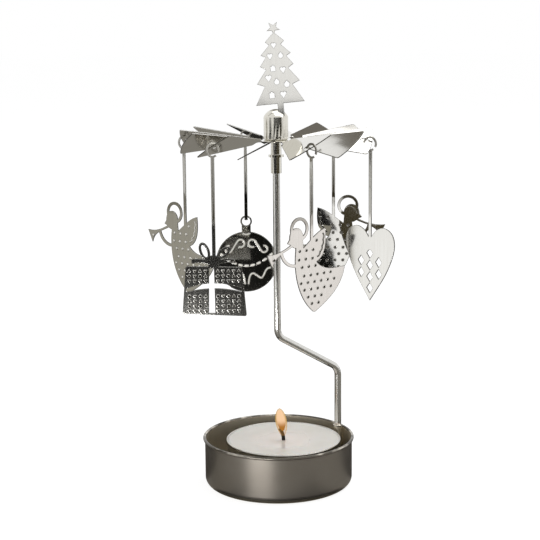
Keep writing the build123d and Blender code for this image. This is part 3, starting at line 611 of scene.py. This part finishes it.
def white_room():
    """White surroundings, brighter to the eye than to matt surfaces."""
    world = bpy.data.worlds.new("white_room")
    bpy.context.scene.world = world
    world.use_nodes = True
    tree = world.node_tree
    tree.nodes.clear()
    strength = add(tree, "ShaderNodeMath", {0: in_sight(tree), 1: 0.45, 2: 0.55}, operation="MULTIPLY_ADD")
    glow = add(tree, "ShaderNodeBackground", {"Color": linear("#ffffff"), "Strength": strength.outputs[0]})
    add(tree, "ShaderNodeOutputWorld", {"Surface": glow.outputs[0]})


def soft_box(name, place, aim, width, height, power):
    """A soft light that faces a point and is out of the camera's sight."""
    lamp = bpy.data.lights.new(name, "AREA")
    lamp.shape = "RECTANGLE"
    lamp.size = width
    lamp.size_y = height
    lamp.energy = power
    light = bpy.data.objects.new(name, lamp)
    light.location = place
    light.rotation_mode = "QUATERNION"
    light.rotation_quaternion = (Vector(aim) - Vector(place)).to_track_quat("-Z", "Y")
    light.visible_camera = False
    bpy.context.scene.collection.objects.link(light)


def camera():
    """Camera at the picture's viewing angle."""
    data = bpy.data.cameras.new("camera")
    data.angle = math.radians(CAMERA_ANGLE)
    data.clip_start = 10 * MM
    eye = bpy.data.objects.new("camera", data)
    tilt = Matrix.Rotation(math.radians(90 - CAMERA_PITCH), 4, "X")
    roll = Matrix.Rotation(math.radians(CAMERA_ROLL), 4, "Z")
    eye.matrix_world = Matrix.Translation(CAMERA_PLACE) @ tilt @ roll
    bpy.context.scene.collection.objects.link(eye)
    bpy.context.scene.camera = eye


# Camera, room and lamps: a wide one overhead, and a small low one that lights the tray's wall
camera()
white_room()
pale_floor()
soft_box("overhead_box", (0.25, 0.1, 1.0), (0, 0, 0.05), 1.0, 1.0, 5.6)
soft_box("tray_box", (-0.075, -0.15, 0.011), (0, 0, 0.009), 0.10, 0.018, 0.09)

# Surroundings that the polished metal mirrors: cards in three layers over the table, then upright ones
BLACK = "#141412"
OLIVE = "#4a4433"
SHADE = "#35332f"
LOW_LAYER = 0.2 * MM
MIDDLE_LAYER = 0.4 * MM
HIGH_LAYER = 0.6 * MM
table_card("grey_table_card", "#8a8780", (-0.22, -0.26), (0.22, 0.26), LOW_LAYER)
table_card("tray_shade_card", SHADE, (-0.075, 0.0), (0.075, 0.075), HIGH_LAYER)
table_card("tray_front_shade_card", SHADE, (-0.022, -0.032), (0.022, 0.0), HIGH_LAYER)
table_card("black_front_card", BLACK, (-0.40, -0.52), (0.040, -0.26), MIDDLE_LAYER)
table_card("black_middle_card", BLACK, (-1.60, -1.20), (0.048, -0.52), MIDDLE_LAYER)
table_card("black_far_card", BLACK, (-0.62, -2.20), (2.40, -1.20), MIDDLE_LAYER)
table_card("olive_card", OLIVE, (0.062, -1.20), (1.40, -0.26), MIDDLE_LAYER)
table_card("pale_right_card", "#fbf7f6", (0.24, -0.25), (0.90, -0.06), MIDDLE_LAYER)
table_card("olive_right_card", OLIVE, (0.24, -0.06), (1.00, 0.08), MIDDLE_LAYER)
table_card("black_left_card", BLACK, (-0.90, 0.0), (-0.24, 0.30), MIDDLE_LAYER)
table_card("dark_rear_card", "#2a2926", (-0.60, 0.30), (0.60, 1.30), MIDDLE_LAYER)
upright_card("grey_left_card", "#a3a096", (-0.15, 0.017, 0.058), 0.057, 0.105, 90)
upright_card("grey_rear_card", "#77736c", (0.085, 0.60, 0.70), 0.53, 0.62, 0)

# Finishes of the stand and of the turned pieces
dress("candle_tray", satin_drawn_steel())
dress("stand_rod", bright_drawn_wire())
dress("foot_weld", weld_bead())
nickel = nickel_plate()
for turned_piece in ("pivot_cap", "guide_sleeve", "retaining_ring"):
    dress(turned_piece, nickel)

# Finishes of the polished sheets, with each figure's turn about the vertical, its blur, and the colours
# painted on its marks' sides and middles as painted highlight and painted shade
figures = {
    "angel_pendant_left": (-42, 0.04, "#4a4843", "#f4f2ec"),
    "angel_pendant_front": (40, 0.04, "#dcd9d3", "#4a4842"),
    "angel_pendant_rear": (0, 0.01, "#a9a69f", "#34322e"),
    "gift_pendant": (0, 0.10, "#f4f2ec", "#1d1c19"),
    "bauble_pendant": (0, 0.03, "#a9a69f", "#f4f2ec"),
    "heart_pendant": (-45, 0.04, "#a9a69f", "#f4f2ec"),
}
for joint in frame["joints"]:
    figure = joint["child"]
    if figure in figures:
        turn, blur, side_light_and_shade, middle_light_and_shade = figures[figure]
        facing = (math.sin(math.radians(turn)), -math.cos(math.radians(turn)), 0)
        marks = (joint["pos_m"], side_light_and_shade, middle_light_and_shade)
        dress(figure, polished_sheet("polished_sheet_" + figure, facing, UP, blur, marks))
dress("tree_topper", polished_sheet("polished_sheet_tree", FRONT, UP, 0.04))
dress("pinwheel_rotor", polished_sheet("polished_sheet_pinwheel", UP, (1, 0, 0), 0.04))

# Tealight with its flame
tealight_cup(rolled_aluminium())
tealight_wax(paraffin_wax())
wick(charred_cotton())
dress("wick_sustainer", tin_plate())
flame_bottom = wax_high.z + FLAME_ABOVE_WAX
flame_top = flame_bottom + FLAME_HEIGHT
mantle_glow = candle_flame("flame_mantle_glow", "#f0a54a", "#cda564", flame_bottom - 0.6 * FLAME_HEIGHT,
                           flame_bottom + 0.8 * FLAME_HEIGHT, 0.85, 0.2)
core_glow = candle_flame("flame_core_glow", "#a8681f", "#ffd5ac", flame_bottom + 0.36 * FLAME_HEIGHT,
                         flame_bottom + 0.68 * FLAME_HEIGHT, 0.0, 0.0)
flame("flame_mantle", mantle_glow, FLAME_WIDTH, flame_bottom, flame_top)
flame("flame_core", core_glow, CORE_SHARE * FLAME_WIDTH, flame_bottom + CORE_RAISE,
      flame_top - CORE_BELOW_TIP)

bpy.context.scene.view_settings.view_transform = "Standard"
